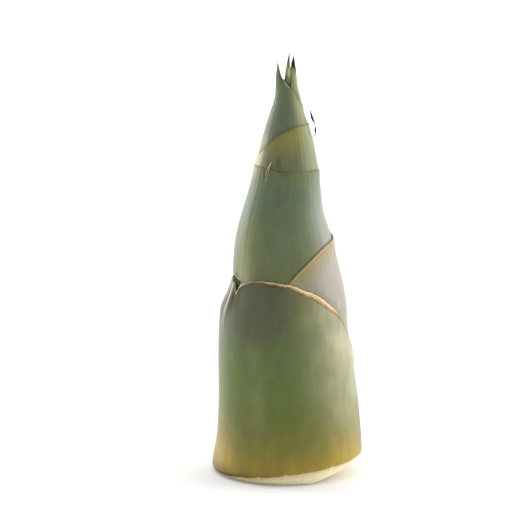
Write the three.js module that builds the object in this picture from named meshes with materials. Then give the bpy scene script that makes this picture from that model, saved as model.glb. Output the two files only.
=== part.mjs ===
// A freshly cut bamboo shoot, standing on its cut base.
//
// A tapering core of pale flesh is wrapped in seven culm sheaths, with a rolled bud at the growing tip.
// Each sheath is one leaf. It grows from its own ring on the core, wraps right round with its two margins
// overlapping, and ends in a narrow blade. The blades alternate from one side of the shoot to the other.
//
// Millimetres, +Z up. The origin is the centre of the cut base, and +X is the side opposite the lowest blade.

import * as THREE from "three";

// ---- Driving dimensions ----

const SHOOT_HEIGHT = 240; // from the cut to the tip of the bud
// Height and X of the shoot's slightly bent axis.
const AXIS = [[0, 0], [24, 1.2], [88, -1.8], [148, -2.6], [166, -1.3], [178, -0.7], [190, -0.3], [240, -0.3]];
const BEVEL = { from: 14, slope: 0.3, fade: 24 }; // past this X the cut base slants up, by a second cut
const GAP = 0.6; // clear space between one layer and the next
const COLUMN_STEP = 12; // degrees between the columns of every layer, so that nested facets stay nested
const ROOM_STEP = 2; // height step of the map of free space inside the layers
const OPEN = 1000; // a radius for space that nothing encloses yet
const RELIEF = 0.25; // how fast a layer may swell once it is clear of the edge of the layer outside it
const RELIEF_START = 3; // how far past that edge the swelling may begin
const RING_SLOPE = 3; // how steeply the core widens into the ring that a sheath grows from
const MARGIN_THINNING = 0.45; // share of the thickness that a sheath loses towards its margins
const THINNING_START = 60; // degrees from the blade at which it starts to thin
const TUCK_TURN = 50; // degrees over which the inner margin moves in under the outer one
const EDGE_THINNING = 0.6; // share of the thickness that a sheath loses at its top edge
const LEAN_FROM_TOP = 16; // length of the bud's tip that leans over
const SETTLING_PASSES = 3; // rounds in which the facets are drawn in until they clear the layer outside them

// ---- The pieces ----
// Angles are degrees round from a sheath's blade, and facing is where that blade stands, counted from +X.
// foot: height of the lower edge, footSlant: how much higher it is towards +X. wrap: where both margins lie.
// girth: heights and outer radii where the sheath shows. Lower down it lies against the layer outside it.
// under: the sign of the side whose margin lies beneath. edge: angle and height along the top edge.
// blade: where round the sheath its tip is, how far it stands above the edge, and its half-width.
// swell: radius added at an angle, over a half-width, growing between two heights.
// rows: facets up the sheath. crowding: above 1, they crowd towards the top.

const ROUGHNESS = { sheath: 0.55, bud: 0.6, core: 0.5 };

// Both sides of an edge from its pairs on one side, starting at the blade.
const evenEdge = (half) => [...half.slice(1).reverse().map(([around, height]) => [-around, height]), ...half];

const SHEATHS = [
  {
    name: "sheath_1_base",
    colour: 0x6a7347,
    facing: 180,
    foot: 6.4,
    footSlant: 5.2,
    wrap: 204,
    under: -1,
    thickness: 1.6,
    rows: 14,
    crowding: 1,
    girth: [[0, 41.6], [4, 43.3], [10, 42.9], [17, 42.1], [40, 40.3], [70, 38.5], [99, 36], [118, 32.4]],
    edge: [
      [-204, 44], [-147, 93], [-120, 105], [-90, 112], [-58, 114.5], [-30, 112], [8, 110.8], [27, 111],
      [36, 106.6], [41, 110.3], [50, 112.9], [66, 114.4], [82, 113.9], [98, 112.3], [108, 109.9],
      [122, 106.2], [132, 101.6], [147, 93.6], [165, 79], [204, 44],
    ],
    blade: { at: 14, height: 5, half: 9 },
    swell: { amount: -4.6, at: 0, half: 34, from: 93, full: 110 },
  },
  {
    name: "sheath_2",
    colour: 0x8c8d70,
    facing: 24,
    foot: 22,
    footSlant: 0,
    wrap: 204,
    under: -1,
    thickness: 1.5,
    rows: 12,
    crowding: 1.2,
    girth: [[22, 42], [80, 36.7], [93, 36.3], [105, 34.6], [116, 32], [127, 29.4], [138, 27.7]],
    edge: evenEdge([
      [0, 136.8], [24, 135.6], [50, 133.8], [68, 130.8], [87, 124.4], [98, 119.8], [109, 113.6],
      [156, 76], [204, 44],
    ]),
    blade: { at: 0, height: 3, half: 9 },
    swell: { amount: 0, at: 0, half: 30, from: 110, full: 120 },
  },
  {
    name: "sheath_3",
    colour: 0x667052,
    facing: -120,
    foot: 46,
    footSlant: 0,
    wrap: 204,
    under: -1,
    thickness: 1.3,
    rows: 15,
    crowding: 1.2,
    girth: [
      [46, 40], [110, 29.2], [128, 28], [139, 26.2], [151, 23], [162, 20.6], [171, 18.9], [176, 18.2],
      [186, 17],
    ],
    edge: [
      [-204, 132], [-156, 156], [-120, 168], [-90, 173.5], [-60, 176.5], [-36, 177], [-8, 175.5], [12, 175.2],
      [70, 174.5], [121, 174], [150, 168], [175, 158], [204, 140],
    ],
    blade: { at: 2, height: 6, half: 6 },
    swell: { amount: 0.7, at: 110, half: 60, from: 164, full: 175 },
  },
  {
    name: "sheath_4",
    colour: 0x7f7d4a,
    facing: 0,
    foot: 74,
    footSlant: 0,
    wrap: 204,
    under: 1,
    thickness: 1.1,
    rows: 13,
    crowding: 1.25,
    girth: [
      [74, 40], [170, 19.5], [176, 18.2], [181, 17], [185, 16], [190, 14.8], [194, 13.5], [199, 12.3],
      [206, 10.8],
    ],
    edge: [
      [-204, 178], [-190, 180], [-172, 182.5], [-156, 185], [-139, 188], [-122, 192.4], [-96, 196.5],
      [-50, 200], [0, 200.5], [50, 200], [96, 196.5], [122, 191], [156, 180], [204, 166],
    ],
    blade: { at: 0, height: 7, half: 8 },
    swell: { amount: 0.3, at: 0, half: 50, from: 176, full: 192 },
  },
  {
    name: "sheath_5",
    colour: 0x656b58,
    facing: 180,
    foot: 104,
    footSlant: 0,
    wrap: 204,
    under: -1,
    thickness: 0.9,
    rows: 14,
    crowding: 1.4,
    girth: [
      [104, 30], [180, 16.8], [190, 14.6], [199, 12.2], [203.5, 10.7], [208, 9.3], [213, 7.6], [217, 6.8],
      [222, 6.6], [228, 6.3], [232, 6], [235, 6.1],
    ],
    edge: [
      [-204, 199], [-156, 211], [-117, 218], [-98, 221.6], [-74, 224.5], [-40, 226.5], [-12, 227], [4, 229],
      [16, 232], [27, 235.2], [36, 232.6], [47, 230], [58, 227.4], [70, 225.1], [84, 223.2], [98, 221.6],
      [111, 219.9], [156, 211], [204, 199],
    ],
    blade: { at: 27, height: 0, half: 11 },
    swell: { amount: 0, at: 0, half: 30, from: 200, full: 220 },
  },
  {
    name: "sheath_6",
    colour: 0x7c835f,
    facing: 0,
    foot: 130,
    footSlant: 0,
    wrap: 192,
    under: -1,
    thickness: 0.75,
    rows: 18,
    crowding: 1.4,
    girth: [
      [130, 26], [202, 10.6], [208, 9.7], [213, 8.2], [217, 7.2], [220, 6.5], [225, 5.9], [230.5, 5.5],
      [232.5, 5.1], [239, 3.9],
    ],
    edge: evenEdge([
      [0, 239], [12, 238], [25, 236.4], [40, 234.5], [52, 232.9], [58, 231.6], [66, 223], [84, 215.5],
      [120, 206], [192, 192],
    ]),
    blade: { at: 0, height: 0, half: 64 },
    swell: { amount: 0, at: 0, half: 30, from: 210, full: 220 },
  },
  {
    name: "sheath_7",
    colour: 0x5f6150,
    facing: -12,
    foot: 152,
    footSlant: 0,
    wrap: 192,
    under: -1,
    thickness: 0.6,
    rows: 10,
    crowding: 1.3,
    girth: [[152, 20], [202, 7.2], [213, 5.2], [222, 4.6], [234, 3.9]],
    edge: evenEdge([[0, 233], [60, 232.2], [71, 231], [77, 226.5], [96, 224.5], [130, 221.5], [192, 216]]),
    blade: { at: 0, height: 0, half: 76 },
    swell: { amount: 0, at: 0, half: 30, from: 210, full: 220 },
  },
];

const CORE = {
  name: "shoot_core",
  colour: 0xe8dca8,
  rows: [0, 1.2, 2.6, 4, 6, 8, 11, 15, 26, 32, 38, 50, 58, 65, 80, 88, 96, 109, 120, 137, 145, 157, 162, 168],
  girth: [[0, 39.8], [1.2, 40.6], [4, 41], [120, 34], [140, 20], [157, 12.6], [165, 7.5], [168, 3.4]],
};

const BUD = {
  name: "central_bud",
  colour: 0x9aa66a,
  rows: [173, 179, 187, 197, 207, 217, 225, 229, 232, 236, SHOOT_HEIGHT],
  girth: [
    [173, 2.5], [179, 6.5], [187, 6.2], [201, 4.4], [216, 2.7], [226, 1.9], [231, 1.4], [236, 0.7],
    [240, 0.3],
  ],
  offset: 1.2, // how far its tip leans towards +X
};

// ---- Curves ----

// A smooth curve through [x, y] pairs, flat wherever the pairs turn, so that it never overshoots them.
function through(pairs) {
  const slope = pairs.map((pair, i) => {
    if (i === 0 || i === pairs.length - 1) return 0;
    const before = (pair[1] - pairs[i - 1][1]) / (pair[0] - pairs[i - 1][0]);
    const after = (pairs[i + 1][1] - pair[1]) / (pairs[i + 1][0] - pair[0]);
    return before * after > 0 ? (2 * before * after) / (before + after) : 0;
  });
  const last = pairs.length - 1;
  slope[0] = (pairs[1][1] - pairs[0][1]) / (pairs[1][0] - pairs[0][0]);
  slope[last] = (pairs[last][1] - pairs[last - 1][1]) / (pairs[last][0] - pairs[last - 1][0]);
  return (x) => {
    if (x <= pairs[0][0]) return pairs[0][1];
    if (x >= pairs[last][0]) return pairs[last][1];
    const i = pairs.findIndex((pair) => pair[0] > x) - 1;
    const span = pairs[i + 1][0] - pairs[i][0];
    const t = (x - pairs[i][0]) / span;
    const rise = pairs[i + 1][1] - pairs[i][1];
    const a = slope[i] * span;
    const b = slope[i + 1] * span;
    return pairs[i][1] + t * (a + t * (3 * rise - 2 * a - b + t * (a + b - 2 * rise)));
  };
}

// Straight lines between points with these xs and ys, level beyond the ends.
function straight(xs, ys) {
  return (x) => {
    const held = THREE.MathUtils.clamp(x, xs[0], xs[xs.length - 1]);
    const i = Math.max(1, xs.findIndex((value) => value >= held));
    return THREE.MathUtils.mapLinear(held, xs[i - 1], xs[i], ys[i - 1], ys[i]);
  };
}

const axisAt = through(AXIS);
const smooth = (x, low, high) => THREE.MathUtils.smoothstep(x, low, high);
const turns = (degrees) => THREE.MathUtils.euclideanModulo(degrees, 360);

// ---- The free space inside the layers made so far ----
// One radius for each column and height. Each sheath lies inside it, and then takes away what it fills.

const COLUMNS = 360 / COLUMN_STEP;
const LEVELS = Math.ceil(SHOOT_HEIGHT / ROOM_STEP) + 1;
let room = Array.from({ length: COLUMNS }, () => new Float64Array(LEVELS).fill(OPEN));

function roomAt(degrees, height) {
  const across = turns(degrees) / COLUMN_STEP;
  const up = THREE.MathUtils.clamp(height / ROOM_STEP, 0, LEVELS - 1);
  const column = Math.floor(across);
  const level = Math.min(Math.floor(up), LEVELS - 2);
  const along = (line) => THREE.MathUtils.lerp(line[level], line[level + 1], up - level);
  return THREE.MathUtils.lerp(along(room[column]), along(room[(column + 1) % COLUMNS]), across - column);
}

function fillRoom(sheath) {
  const remaining = room.map((line) => line.slice());
  for (let column = 0; column < COLUMNS; column++) {
    for (const turn of [-360, 0, 360]) {
      const around = turns(column * COLUMN_STEP - sheath.facing) + turn;
      if (Math.abs(around) > sheath.wrap) continue;
      const { heights, inner } = sheath.columnAt(around);
      const innerAt = straight(heights, inner);
      for (let level = 0; level < LEVELS; level++) {
        const height = level * ROOM_STEP;
        const above = Math.max(0, height - sheath.topAt(around) - RELIEF_START) * RELIEF;
        const below = Math.max(0, sheath.footAt(around) - height - ROOM_STEP) * RING_SLOPE;
        const free = innerAt(height) - GAP + above + below;
        remaining[column][level] = Math.min(remaining[column][level], free);
      }
    }
  }
  room = remaining;
}

// ---- Solids ----

// One closed body from two grids of points, the outer and the inner face of a sheet, joined round their rims.
function sheetBody(outer, inner) {
  const across = outer.length;
  const up = outer[0].length;
  const points = [...outer.flat(), ...inner.flat()];
  const back = across * up;
  const end = across - 1;
  const at = (i, k) => i * up + k;
  const faces = [];
  const quad = (a, b, c, d) => faces.push(a, b, c, a, c, d);
  for (let i = 0; i + 1 < across; i++) {
    for (let k = 0; k + 1 < up; k++) {
      quad(at(i, k), at(i + 1, k), at(i + 1, k + 1), at(i, k + 1));
      quad(back + at(i, k), back + at(i, k + 1), back + at(i + 1, k + 1), back + at(i + 1, k));
    }
    quad(at(i, 0), back + at(i, 0), back + at(i + 1, 0), at(i + 1, 0));
    quad(at(i, up - 1), at(i + 1, up - 1), back + at(i + 1, up - 1), back + at(i, up - 1));
  }
  for (let k = 0; k + 1 < up; k++) {
    quad(at(0, k), at(0, k + 1), back + at(0, k + 1), back + at(0, k));
    quad(at(end, k), back + at(end, k), back + at(end, k + 1), at(end, k + 1));
  }
  return geometry(points, faces);
}

// One closed body from rings of points. Its ends are closed by strips that run across them along Y.
function ringBody(rings) {
  const around = rings[0].length;
  const points = rings.flat();
  const faces = [];
  const at = (ring, i) => ring * around + (i % around);
  for (let ring = 0; ring + 1 < rings.length; ring++) {
    for (let i = 0; i < around; i++) {
      faces.push(at(ring, i), at(ring, i + 1), at(ring + 1, i + 1));
      faces.push(at(ring, i), at(ring + 1, i + 1), at(ring + 1, i));
    }
  }
  const last = rings.length - 1;
  for (let i = 0; 2 * i < around; i++) {
    if (i > 0) {
      faces.push(at(0, i), at(0, around - i), at(0, i + 1));
      faces.push(at(last, i), at(last, i + 1), at(last, around - i));
    }
    if (2 * i + 2 < around) {
      faces.push(at(0, around - i), at(0, around - i - 1), at(0, i + 1));
      faces.push(at(last, around - i), at(last, i + 1), at(last, around - i - 1));
    }
  }
  return geometry(points, faces);
}

function geometry(points, faces) {
  const made = new THREE.BufferGeometry();
  made.setAttribute("position", new THREE.Float32BufferAttribute(points.flatMap((p) => p.toArray()), 3));
  made.setIndex(faces);
  made.computeVertexNormals();
  return made;
}

// A point at an angle round the shoot, in the frame of a piece that is turned to face its blade.
function pointAt(around, radius, height, facing) {
  const turn = THREE.MathUtils.degToRad(around);
  const point = new THREE.Vector3(radius * Math.cos(turn), radius * Math.sin(turn), height);
  const back = -THREE.MathUtils.degToRad(facing);
  return point.add(new THREE.Vector3(axisAt(height) * Math.cos(back), axisAt(height) * Math.sin(back), 0));
}

function addMesh(group, name, colour, roughness, body) {
  const material = new THREE.MeshStandardMaterial({ color: colour, roughness, metalness: 0 });
  const mesh = new THREE.Mesh(body, material);
  mesh.name = name;
  group.add(mesh);
  return mesh;
}

// ---- Sheaths ----

function shapeSheath(sheath) {
  const girth = through(sheath.girth);
  const edge = through(sheath.edge);
  const overlapStart = 360 - sheath.wrap;
  sheath.footAt = (around) =>
    sheath.foot + sheath.footSlant * Math.cos(THREE.MathUtils.degToRad(around + sheath.facing));
  sheath.topAt = (around) => {
    const { at, height, half } = sheath.blade;
    return edge(around) + height * Math.max(0, 1 - Math.abs(around - at) / half);
  };
  const thicknessAt = (around) =>
    sheath.thickness * (1 - MARGIN_THINNING * smooth(Math.abs(around), THINNING_START, sheath.wrap));
  sheath.outerAt = (around, height) => {
    const { amount, at, half, from, full } = sheath.swell;
    const swell = amount * Math.exp(-(((around - at) / half) ** 2)) * smooth(height, from, full);
    const free = roomAt(around + sheath.facing, height);
    const tuck = smooth(sheath.under * around, overlapStart - TUCK_TURN, overlapStart);
    return Math.min(girth(height) + swell, free) - tuck * (thicknessAt(around) + GAP);
  };
  sheath.columnAt = (around) => {
    const heights = Array.from({ length: sheath.rows + 1 }, (_, k) => {
      const share = 1 - (1 - k / sheath.rows) ** sheath.crowding;
      return THREE.MathUtils.lerp(sheath.footAt(around), sheath.topAt(around), share);
    });
    const outer = settled(heights, (height) => sheath.outerAt(around, height));
    const left = (k) => (k < sheath.rows ? 1 : 1 - EDGE_THINNING);
    return { heights, outer, inner: outer.map((radius, k) => radius - thicknessAt(around) * left(k)) };
  };
}

// Radii at the given heights, pulled in until no facet between two of them stands outside the curve.
function settled(heights, curve) {
  const radii = heights.map(curve);
  for (let pass = 0; pass < SETTLING_PASSES; pass++) {
    for (let k = 0; k + 1 < radii.length; k++) {
      for (const share of [0.25, 0.5, 0.75]) {
        const height = THREE.MathUtils.lerp(heights[k], heights[k + 1], share);
        const excess = THREE.MathUtils.lerp(radii[k], radii[k + 1], share) - curve(height);
        radii[k] -= Math.max(0, excess);
        radii[k + 1] -= Math.max(0, excess);
      }
    }
  }
  return radii;
}

// The angles of a sheath's columns of facets: even steps, and a few more where the blade stands.
function sheathColumns(sheath) {
  const count = (2 * sheath.wrap) / COLUMN_STEP + 1;
  const onSteps = Array.from({ length: count }, (_, i) => i * COLUMN_STEP - sheath.wrap);
  const atBlade = [-1, -0.5, 0, 0.5, 1].map((side) => sheath.blade.at + side * sheath.blade.half);
  return [...new Set([...onSteps, ...atBlade])].sort((a, b) => a - b);
}

function sheathBody(sheath) {
  const columns = sheathColumns(sheath).map((around) => ({ around, ...sheath.columnAt(around) }));
  const face = (side) =>
    columns.map((column) =>
      column.heights.map((height, k) => pointAt(column.around, column[side][k], height, sheath.facing)),
    );
  return sheetBody(face("outer"), face("inner"));
}

const bambooShoot = new THREE.Group();
bambooShoot.name = "bamboo_shoot";

for (const sheath of SHEATHS) {
  shapeSheath(sheath);
  const mesh = addMesh(bambooShoot, sheath.name, sheath.colour, ROUGHNESS.sheath, sheathBody(sheath));
  mesh.rotation.z = THREE.MathUtils.degToRad(sheath.facing);
  fillRoom(sheath);
}

// ---- Bud and core ----
// Both fill what the sheaths leave. The core steps in above each ring that a sheath grows from.

function filling(piece, rows, offset, bevelAt) {
  const girth = through(piece.girth);
  const start = rows[0];
  const end = rows[rows.length - 1];
  const columns = Array.from({ length: COLUMNS }, (_, i) => {
    const around = i * COLUMN_STEP;
    const bevel = bevelAt(girth(start) * Math.cos(THREE.MathUtils.degToRad(around)));
    const lifted = (height) => height + bevel * (1 - smooth(height, start, start + BEVEL.fade));
    const heights = rows.map(lifted);
    const radii = settled(heights, (height) => Math.min(girth(height - bevel), roomAt(around, height)));
    return heights.map((height, k) => {
      const shift = offset * smooth(height, end - LEAN_FROM_TOP, end);
      const point = pointAt(around, radii[k] - shift, height, 0);
      return point.setX(point.x + shift);
    });
  });
  return rows.map((_, k) => columns.map((column) => column[k]));
}

const ringRows = SHEATHS.flatMap((sheath) => [sheath.foot - 2 * ROOM_STEP, sheath.foot - ROOM_STEP]);
const coreRows = [...CORE.rows, ...ringRows.filter((height) => height > 0)].sort((a, b) => a - b);

const bevelAt = (x) => Math.max(0, x - BEVEL.from) * BEVEL.slope;

const budBody = ringBody(filling(BUD, BUD.rows, BUD.offset, () => 0));
const coreBody = ringBody(filling(CORE, coreRows, 0, bevelAt));
addMesh(bambooShoot, BUD.name, BUD.colour, ROUGHNESS.bud, budBody);
addMesh(bambooShoot, CORE.name, CORE.colour, ROUGHNESS.core, coreBody);

export default bambooShoot;
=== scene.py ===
"""A freshly cut bamboo shoot, standing on its cut base: seven leaf sheaths, a bud and a core of flesh.

Lengths are millimetres until a mesh is made, and its points are then metres. Angles are degrees round the
shoot, counted from +X. A sheath's own angles are counted from the middle of its blade.
"""

import bpy
import numpy as np
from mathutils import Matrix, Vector


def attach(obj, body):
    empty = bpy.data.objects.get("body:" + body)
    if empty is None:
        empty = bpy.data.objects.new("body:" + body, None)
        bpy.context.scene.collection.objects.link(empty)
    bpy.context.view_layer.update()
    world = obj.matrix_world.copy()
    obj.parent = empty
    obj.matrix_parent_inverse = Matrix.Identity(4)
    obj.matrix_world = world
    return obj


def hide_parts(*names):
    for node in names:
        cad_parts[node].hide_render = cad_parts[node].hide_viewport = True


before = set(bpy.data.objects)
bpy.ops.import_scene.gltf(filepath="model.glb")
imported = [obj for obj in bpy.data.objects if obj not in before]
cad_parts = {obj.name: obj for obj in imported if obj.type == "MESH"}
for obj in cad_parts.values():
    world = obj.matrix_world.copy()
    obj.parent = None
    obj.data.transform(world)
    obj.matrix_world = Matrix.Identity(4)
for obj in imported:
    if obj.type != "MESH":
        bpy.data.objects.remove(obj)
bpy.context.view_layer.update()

# ==== Sheath 1, the lowest leaf ====
# The outermost culm sheath: a stiff green leaf with a waxy skin, grown on to the foot of the core and
# wrapped once round the shoot. Its top edge has dried to a frayed tan rim, and below its withered blade it
# is gathered into pleats.

MM = 0.001
SHOOT_HEIGHT = 240
GAP = 0.6  # clear space between one sheath and the next
EDGE_GAP = 0.25  # share of that gap that is left at an edge
ROOM_COLUMN = 2  # degrees between the columns of the map of free space
RELEASE = 2  # distance past a sheath's edge or foot where the room inside it begins to widen
WIDER_ABOVE, WIDER_BELOW = 0.3, 3  # how fast it widens above the edge, and below the foot
RIM_POINTS = 6  # points in the half circle over a sheath's edge
THIN_EDGE = 4  # height below its edge over which a sheath thins
THIN_MARGIN = 0.45  # share of its thickness that a sheath loses towards its margins
MARGIN_FROM = 60  # degrees from the blade where that begins
TUCK_TURN = 50  # degrees over which the inner margin moves in under the outer one
DEEPEST_RELIEF = 0.6  # share of the thickness that relief may cut away
# How far below an edge, and above a foot, the rows of points that crowd there lie.
NEAR_EDGE = np.array([0, 0.2, 0.45, 0.75, 1.1, 1.5, 2, 2.6, 3.3, 4.1, 5])
NEAR_FOOT = np.array([0.6, 0.2, 0.04, 0])


def smooth(x, low, high):
    """0 up to low and 1 from high on, with 3t^2 - 2t^3 between."""
    t = np.clip((x - low) / (high - low), 0, 1)
    return t * t * (3 - 2 * t)


def hump(x, middle, width):
    """1 at its middle, falling off on both sides as exp(-d^2)."""
    return np.exp(-(((x - middle) / width) ** 2))


def through(pairs):
    """A smooth curve through (x, y) pairs, as a function of arrays: a cubic between neighbours.

    Its slope at a pair is the harmonic mean of the straight slopes beside it, or level where those turn, so
    that it never overshoots."""
    x, y = np.array(pairs, float).T
    rise = np.diff(y) / np.diff(x)
    turning = rise[:-1] * rise[1:] <= 0
    mean = 2 * rise[:-1] * rise[1:] / np.where(turning, 1, rise[:-1] + rise[1:])
    slope = np.concatenate([rise[:1], np.where(turning, 0, mean), rise[-1:]])

    def curve(at):
        at = np.clip(at, x[0], x[-1])
        i = np.clip(np.searchsorted(x, at, side="right") - 1, 0, len(x) - 2)
        span = x[i + 1] - x[i]
        t = (at - x[i]) / span
        a, b, up = slope[i] * span, slope[i + 1] * span, y[i + 1] - y[i]
        return y[i] + t * (a + t * (3 * up - 2 * a - b + t * (a + b - 2 * up)))

    return curve


def uneven(x, length, seed):
    """Smooth wandering between about -1 and 1: six sine waves of random phase, from the given wavelength down
    to a fifth of it, the shorter ones lower."""
    phases = np.random.default_rng(seed).random(6)
    waves = length / np.linspace(1, 5, 6)
    parts = [np.sin(2 * np.pi * (x / wave + phase)) * (wave / length) ** 0.5
             for wave, phase in zip(waves, phases)]
    return sum(parts) / 2.2


# How far the shoot's axis stands to +X at each height.
axis_shift = through([(0, 0), (24, 1.2), (88, -1.8), (148, -2.6), (166, -1.3), (178, -0.7), (190, -0.3),
                      (240, -0.3)])

# The free radius inside the sheaths laid so far, for each column and each millimetre of height.
room = np.full((360 // ROOM_COLUMN, SHOOT_HEIGHT + 2), 1000.0)


def room_at(angle, height):
    """The free radius at any angle and height, straight between the four nearest values of the map."""
    across = np.mod(angle, 360) / ROOM_COLUMN
    up = np.clip(height, 0, room.shape[1] - 1.001)
    column, level = across.astype(int) % len(room), up.astype(int)
    beside = (column + 1) % len(room)
    s, t = across - np.floor(across), up - level
    low = room[column, level] * (1 - s) + room[beside, level] * s
    high = room[column, level + 1] * (1 - s) + room[beside, level + 1] * s
    return low * (1 - t) + high * t


def ring_points(angle, radius, height):
    """Points in metres at an angle and radius round the axis: (shift + r cos, r sin, z)."""
    turn = np.radians(angle)
    x = axis_shift(height) + radius * np.cos(turn)
    return np.stack(np.broadcast_arrays(x, radius * np.sin(turn), height), -1) * MM


def make_piece(name, node, points, faces, marks, growth, material):
    """A smooth mesh object that stands for a CAD node. marks are values kept on its points, and growth is its
    map in millimetres: how far round the piece, and how far up."""
    mesh = bpy.data.meshes.new(name)
    mesh.from_pydata(points.reshape(-1, 3), [], faces)
    for mark, values in marks.items():
        attribute = mesh.attributes.new(mark, "FLOAT", "POINT")
        attribute.data.foreach_set("value", values.ravel().astype(np.float32))
    corner = np.empty(len(mesh.loops), int)
    mesh.loops.foreach_get("vertex_index", corner)
    mesh.uv_layers.new(name="growth").data.foreach_set("uv", (growth.reshape(-1, 2) * MM)[corner].ravel())
    mesh.shade_smooth()
    mesh.materials.append(material)
    piece = bpy.data.objects.new(name, mesh)
    bpy.context.scene.collection.objects.link(piece)
    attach(piece, "root")
    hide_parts(node)
    return piece


def sheet(name, node, material, angle, height, outer, inner, around, marks,
          lean=lambda level: 0 * level):
    """A closed sheet from its outer and inner radii on a grid of columns and rising rows.

    Its section runs up the outer face, over the edge in a half circle, and down the inner face, and both end
    columns are closed. lean turns it round the shoot by an angle that depends on height."""
    half = (outer[:, -1:] - inner[:, -1:]) / 2
    turn = np.linspace(0, np.pi, RIM_POINTS + 2)[1:-1]
    radius = np.concatenate([outer, inner[:, -1:] + half * (1 + np.cos(turn)), inner[:, ::-1]], axis=1)
    level = np.concatenate([height, height[:, -1:] + half * np.sin(turn), height[:, ::-1]], axis=1)
    inside = np.concatenate([0 * height, 0 * half + turn / np.pi, 0 * height + 1], axis=1)
    below = level.max(axis=1, keepdims=True) - level
    wide = np.broadcast_to(around, radius.shape)
    columns, loop = radius.shape
    at = np.arange(columns * loop).reshape(columns, loop)
    on = np.roll(at, -1, axis=1)
    wall = np.stack([at[:-1], at[1:], on[1:], on[:-1]], -1).reshape(-1, 4)
    k = np.arange(loop // 2 - 1)
    cap = np.stack([k, k + 1, loop - 2 - k, loop - 1 - k], -1)
    faces = np.concatenate([wall, at[0][cap], at[-1][cap][:, ::-1]])
    values = {"inside": inside, "below": below * MM}
    values |= {mark: make(wide, level, below) for mark, make in marks.items()}
    growth = np.stack([np.radians(wide) * outer.mean(), level], -1)
    points = ring_points(angle + lean(level), radius, level)
    return make_piece(name, node, points, faces.tolist(), values, growth, material)


def lay_sheath(name, node, material, facing, wrap, thickness, girth, top, foot, step, rows, marks,
               edge_thickness=0.22, under=-1,
               swell=lambda around, height: 0 * around * height,
               relief=lambda around, height, below: 0 * around * height):
    """One sheath, on a grid of angle round from its blade and height.

    Its outer radius is its girth plus its swell, held within the room, less a tuck that takes the margin on
    the side of sign under in beneath the other. Its inner radius is that less its thickness, which thins
    towards the edge. relief is added to its outer face alone. What it fills is then taken from the room, with
    a gap that narrows towards the edge; the room widens slowly above the edge and quickly below the foot."""
    girth_at = through(girth)
    overlap = 360 - wrap

    def thick(around):
        return thickness * (1 - THIN_MARGIN * smooth(np.abs(around), MARGIN_FROM, wrap))

    def outer(around, height):
        tuck = smooth(under * around, overlap - TUCK_TURN, overlap) * (thick(around) + GAP)
        free = room_at(around + facing, height)
        return np.minimum(girth_at(height) + swell(around, height), free) - tuck

    def thinned(around, height):
        return edge_thickness + (thick(around) - edge_thickness) * smooth(top(around) - height, 0, THIN_EDGE)

    around = np.arange(-wrap, wrap + step / 2, step)[:, None]
    low = foot(around + facing)
    tall = top(around) - edge_thickness / 2 - low
    spread = np.linspace(0, 1, rows + 2)[1:-1]
    near = np.broadcast_to(NEAR_EDGE, (len(around), len(NEAR_EDGE)))
    between = NEAR_EDGE[-1] + (tall - NEAR_EDGE[-1] - NEAR_FOOT[0]) * spread
    below = np.concatenate([near, between, tall - NEAR_FOOT], axis=1)[:, ::-1]
    height = low + tall - below
    thin = thinned(around, height)
    inner = outer(around, height) - thin
    face = outer(around, height) + np.maximum(relief(around, height, below), -DEEPEST_RELIEF * thin)
    piece = sheet(name, node, material, around + facing, height, face, inner, around, marks)

    levels = np.arange(room.shape[1])[None, :]
    columns = (np.arange(len(room)) * ROOM_COLUMN)[:, None]
    left = room.copy()
    for turned in (-360, 0, 360):
        away = np.mod(columns - facing, 360) + turned
        held = np.clip(levels, foot(columns), top(away))
        above = np.maximum(0, levels - top(away) - RELEASE) * WIDER_ABOVE
        beneath = np.maximum(0, foot(columns) - levels - RELEASE) * WIDER_BELOW
        gap = GAP * (EDGE_GAP + (1 - EDGE_GAP) * smooth(top(away) - held, 0, THIN_EDGE))
        free = outer(away, held) - thinned(away, held) - gap + above + beneath
        left = np.where(np.abs(away) <= wrap, np.minimum(left, free), left)
    room[:] = left
    return piece


def colour(code):
    """An sRGB hex colour as linear red, green, blue and full alpha."""
    parts = np.array([int(code[i:i + 2], 16) for i in (1, 3, 5)]) / 255
    linear = np.where(parts <= 0.04045, parts / 12.92, ((parts + 0.055) / 1.055) ** 2.4)
    return (*linear.tolist(), 1.0)


def add(tree, kind, inputs=None, stops=None, **settings):
    """Adds a node. settings are its properties, and stops a colour ramp's (place, hex code, alpha).

    inputs gives its sockets by name or number: a value, a hex code, the socket that feeds it, or the node
    whose main output does."""
    made = tree.nodes.new("ShaderNode" + kind)
    for setting, value in settings.items():
        setattr(made, setting, value)
    for socket, value in (inputs or {}).items():
        if isinstance(value, bpy.types.Node):
            value = value.outputs[2 if value.bl_idname == "ShaderNodeMix" else 0]
        if isinstance(value, bpy.types.NodeSocket):
            tree.links.new(value, made.inputs[socket])
        else:
            made.inputs[socket].default_value = colour(value) if isinstance(value, str) else value
    for i, (place, code, alpha) in enumerate(stops or []):
        stop = made.color_ramp.elements[i] if i < 2 else made.color_ramp.elements.new(1)
        stop.position, stop.color = place, (*colour(code)[:3], alpha)
    return made


def pattern(tree, where, width, length, detail=2.0):
    """Noise drawn out along the leaf, its features the given width and length in millimetres."""
    scaled = add(tree, "Mapping", {0: where, 3: (1 / (width * MM), 1 / (length * MM), 1)})
    return add(tree, "TexNoise", {"Vector": scaled, "Scale": 1.0, "Detail": detail}, noise_dimensions="2D")


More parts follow.
